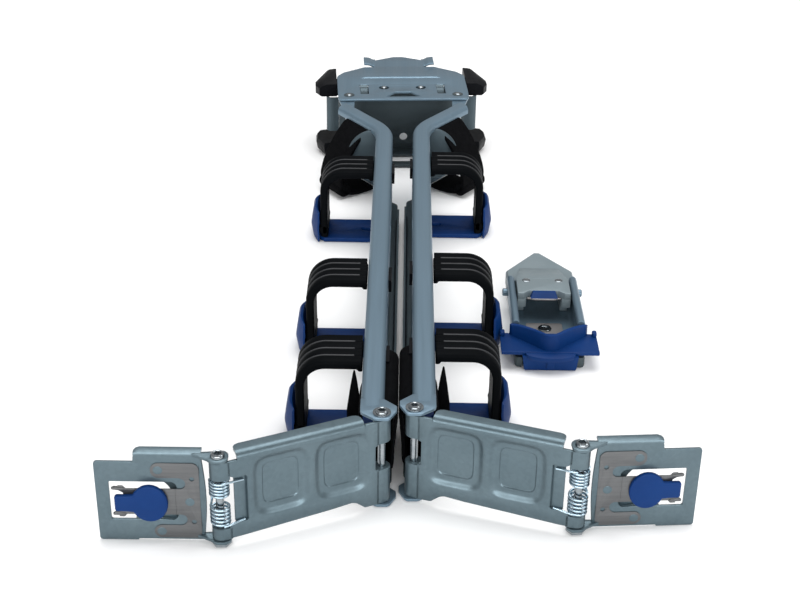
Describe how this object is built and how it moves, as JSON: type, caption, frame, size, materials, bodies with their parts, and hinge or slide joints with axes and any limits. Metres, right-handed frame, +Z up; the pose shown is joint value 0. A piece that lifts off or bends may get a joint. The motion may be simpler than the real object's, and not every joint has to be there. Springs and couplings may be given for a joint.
{
  "type": "cable management arm",
  "caption": "Folding cable management arm for a rack server, with hinged arms, cable baskets, sprung latch brackets and a loose attachment bracket.",
  "frame": {"origin": "middle of the footprint, on the surface that the folded arm stands on", "axes": "+Y along the arms to the elbow, +X across them to the loose bracket's side, +Z up"},
  "size_m": [0.2328, 0.4447, 0.0441],
  "materials": {
    "zinc_steel": "zinc plated sheet with a soft sheen",
    "spring_steel": "bright stainless",
    "screw_steel": "plated screw steel",
    "grey_casting": "grey coated casting",
    "blue_plastic": "moulded blue with a fine grain",
    "black_plastic": "moulded black with a fine grain",
    "black_rubber": "dull ribbed rubber",
    "black_fabric": "woven hook-and-loop tape"
  },
  "bodies": {
    "arm_left": {"arm_left": "zinc_steel", "basket_left_near": "blue_plastic", "basket_left_middle": "blue_plastic", "basket_left_far": "blue_plastic", "strap_anchors_left": "black_plastic", "near_wrap_left": "black_fabric", "far_wrap_left": "black_fabric", "near_hinge_screw_left": "screw_steel"},
    "strap_left_near": {"strap_left_near": "black_rubber"},
    "strap_left_middle": {"strap_left_middle": "black_rubber"},
    "strap_left_far": {"strap_left_far": "black_rubber"},
    "link_left": {"link_plate_left": "zinc_steel", "outer_hinge_screw_left": "screw_steel", "outer_hinge_nut_left": "screw_steel"},
    "latch_left": {"latch_bracket_left": "zinc_steel", "latch_leaf_left": "spring_steel", "leaf_rivets_left": "spring_steel", "hinge_spring_left": "spring_steel"},
    "tab_left": {"latch_tongue_left": "spring_steel", "push_tab_left": "blue_plastic"},
    "arm_right": {"arm_right": "zinc_steel", "basket_right_near": "blue_plastic", "basket_right_middle": "blue_plastic", "basket_right_far": "blue_plastic", "strap_anchors_right": "black_plastic", "near_wrap_right": "black_fabric", "far_wrap_right": "black_fabric", "near_hinge_screw_right": "screw_steel"},
    "strap_right_near": {"strap_right_near": "black_rubber"},
    "strap_right_middle": {"strap_right_middle": "black_rubber"},
    "strap_right_far": {"strap_right_far": "black_rubber"},
    "link_right": {"link_plate_right": "zinc_steel", "outer_hinge_screw_right": "screw_steel", "outer_hinge_nut_right": "screw_steel"},
    "latch_right": {"latch_bracket_right": "zinc_steel", "latch_leaf_right": "spring_steel", "leaf_rivets_right": "spring_steel", "hinge_spring_right": "spring_steel"},
    "tab_right": {"latch_tongue_right": "spring_steel", "push_tab_right": "blue_plastic"},
    "elbow": {"elbow_top_plate": "zinc_steel", "elbow_frame": "zinc_steel", "elbow_pivots": "screw_steel", "elbow_plate_rivets": "screw_steel", "cap_screws": "screw_steel", "elbow_guard_left": "zinc_steel", "upper_cap_left": "black_plastic", "lower_cap_left": "black_plastic", "elbow_guard_right": "zinc_steel", "upper_cap_right": "black_plastic", "lower_cap_right": "black_plastic"},
    "clip": {"clip_channel": "zinc_steel", "clip_nose": "grey_casting", "clip_rivets": "screw_steel", "clip_floor_plate": "spring_steel", "clip_end": "blue_plastic"},
    "clip_latch": {"clip_leaf": "spring_steel", "clip_button": "blue_plastic"}
  },
  "joints": [
    {"name": "elbow_pivot_right", "type": "hinge", "parent": "arm_right", "child": "elbow", "pos_m": [0.0308, 0.15889, 0.0213], "axis": [0, 0, 1], "range_deg": [-75, 0]},
    {"name": "elbow_pivot_left", "type": "hinge", "parent": "elbow", "child": "arm_left", "pos_m": [-0.0334, 0.15489, 0.0213], "axis": [0, 0, 1], "range_deg": [-75, 0]},
    {"name": "link_hinge_right", "type": "hinge", "parent": "arm_right", "child": "link_right", "pos_m": [0.0051, -0.18481, 0.0213], "axis": [0, 0, 1], "range_deg": [-66, 0]},
    {"name": "latch_hinge_right", "type": "hinge", "parent": "link_right", "child": "latch_right", "pos_m": [0.06911, -0.20623, 0.0213], "axis": [0, 0, 1], "range_deg": [-30, 40], "stiffness_Nm_per_rad": 0.02, "deforming": ["hinge_spring_right"]},
    {"name": "tab_flex_right", "type": "hinge", "parent": "latch_right", "child": "tab_right", "pos_m": [0.08299, -0.20413, 0.0186], "axis": [0, 0, 1], "range_deg": [0, 6], "stiffness_Nm_per_rad": 0.3},
    {"name": "link_hinge_left", "type": "hinge", "parent": "arm_left", "child": "link_left", "pos_m": [-0.0077, -0.18881, 0.0213], "axis": [0, 0, 1], "range_deg": [0, 60]},
    {"name": "latch_hinge_left", "type": "hinge", "parent": "link_left", "child": "latch_left", "pos_m": [-0.06888, -0.21734, 0.0213], "axis": [0, 0, 1], "range_deg": [-40, 30], "stiffness_Nm_per_rad": 0.02, "deforming": ["hinge_spring_left"]},
    {"name": "tab_flex_left", "type": "hinge", "parent": "latch_left", "child": "tab_left", "pos_m": [-0.08288, -0.21634, 0.0186], "axis": [0, 0, -1], "range_deg": [0, 6], "stiffness_Nm_per_rad": 0.3},
    {"name": "strap_release_right_near", "type": "hinge", "parent": "arm_right", "child": "strap_right_near", "pos_m": [0.014, -0.12961, 0.0404], "axis": [0, -1, 0], "range_deg": [0, 95], "deforming": ["strap_right_near"]},
    {"name": "strap_release_right_middle", "type": "hinge", "parent": "arm_right", "child": "strap_right_middle", "pos_m": [0.014, -0.05731, 0.0404], "axis": [0, -1, 0], "range_deg": [0, 95], "deforming": ["strap_right_middle"]},
    {"name": "strap_release_right_far", "type": "hinge", "parent": "arm_right", "child": "strap_right_far", "pos_m": [0.014, 0.06419, 0.0404], "axis": [0, -1, 0], "range_deg": [0, 95], "deforming": ["strap_right_far"]},
    {"name": "strap_release_left_near", "type": "hinge", "parent": "arm_left", "child": "strap_left_near", "pos_m": [-0.0166, -0.13661, 0.0404], "axis": [0, 1, 0], "range_deg": [0, 95], "deforming": ["strap_left_near"]},
    {"name": "strap_release_left_middle", "type": "hinge", "parent": "arm_left", "child": "strap_left_middle", "pos_m": [-0.0166, -0.06431, 0.0404], "axis": [0, 1, 0], "range_deg": [0, 95], "deforming": ["strap_left_middle"]},
    {"name": "strap_release_left_far", "type": "hinge", "parent": "arm_left", "child": "strap_left_far", "pos_m": [-0.0166, 0.05719, 0.0404], "axis": [0, 1, 0], "range_deg": [0, 95], "deforming": ["strap_left_far"]},
    {"name": "clip_lift", "type": "slide", "parent": "arm_right", "child": "clip", "axis": [0, 0, 1], "range_m": [0, 0.06]},
    {"name": "clip_press", "type": "slide", "parent": "clip", "child": "clip_latch", "axis": [0, 0, -1], "range_m": [0, 0.002], "stiffness_N_per_m": 800}
  ]
}
